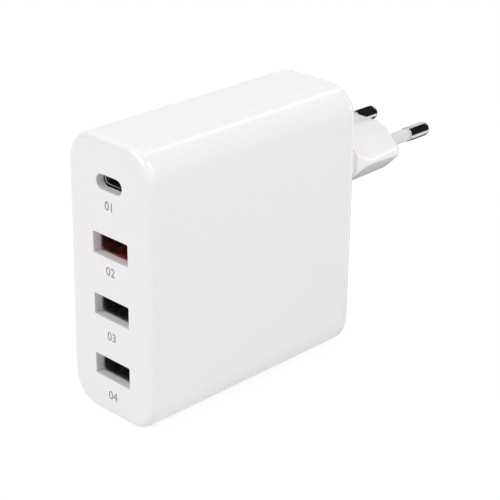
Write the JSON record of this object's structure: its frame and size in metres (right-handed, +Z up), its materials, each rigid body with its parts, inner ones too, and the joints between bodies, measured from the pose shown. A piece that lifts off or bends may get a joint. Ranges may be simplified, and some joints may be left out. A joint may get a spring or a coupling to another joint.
{
  "type": "usb wall charger",
  "caption": "Upright slab-shaped mains charger with rounded long edges, a column of USB sockets on its narrow front and a fixed two-pin plug at the back.",
  "frame": {"origin": "centre of the flat underside that the body stands on", "axes": "+Z up, +Y from the port face to the plug's pins, +X across the thickness"},
  "size_m": [0.0334, 0.1081, 0.074],
  "materials": {
    "white_shell": "gloss",
    "pin_metal": "polished",
    "sleeve_plastic": "satin",
    "lead_insulation": "matte",
    "socket_steel": "satin",
    "red_insulator": "satin",
    "black_insulator": "satin",
    "contact_gold": "polished",
    "board_laminate": "satin",
    "ferrite": "matte",
    "bobbin_plastic": "satin",
    "winding_tape": "gloss",
    "copper_wire": "gloss",
    "can_aluminium": "satin",
    "film_box": "satin",
    "fuse_body": "satin",
    "disc_coating": "gloss",
    "package_epoxy": "matte",
    "spreader_metal": "satin",
    "sheet_film": "satin",
    "inductor_block": "matte"
  },
  "bodies": {
    "root": {"main_housing": "white_shell", "rear_cover": "white_shell", "live_pin": "pin_metal", "neutral_pin": "pin_metal", "live_pin_sleeve": "sleeve_plastic", "neutral_pin_sleeve": "sleeve_plastic", "live_lead": "lead_insulation", "neutral_lead": "lead_insulation", "usb_a_1_shell": "socket_steel", "usb_a_2_shell": "socket_steel", "usb_a_3_shell": "socket_steel", "usb_c_shell": "socket_steel", "usb_a_1_insulator": "red_insulator", "usb_a_2_insulator": "black_insulator", "usb_a_3_insulator": "black_insulator", "usb_c_insulator": "black_insulator", "usb_a_1_contacts": "contact_gold", "usb_a_2_contacts": "contact_gold", "usb_a_3_contacts": "contact_gold", "usb_c_contacts": "contact_gold", "board_pins": "contact_gold", "port_board": "board_laminate", "main_board": "board_laminate", "transformer_core": "ferrite", "choke_core": "ferrite", "filter_core": "ferrite", "transformer_bobbin": "bobbin_plastic", "transformer_winding": "winding_tape", "choke_winding_1": "copper_wire", "choke_winding_2": "copper_wire", "filter_winding": "copper_wire", "bulk_capacitor_1": "can_aluminium", "bulk_capacitor_2": "can_aluminium", "output_capacitor_1": "can_aluminium", "output_capacitor_2": "can_aluminium", "x_capacitor": "film_box", "mains_fuse": "fuse_body", "y_capacitor": "disc_coating", "bridge_rectifier": "package_epoxy", "power_transistor": "package_epoxy", "control_chip": "package_epoxy", "optocoupler": "package_epoxy", "sync_rectifier": "package_epoxy", "port_controller_1": "package_epoxy", "port_controller_2": "package_epoxy", "heat_spreader": "spreader_metal", "insulation_sheet": "sheet_film", "buck_inductor_1": "inductor_block", "buck_inductor_2": "inductor_block", "buck_inductor_3": "inductor_block"}
  },
  "joints": []
}
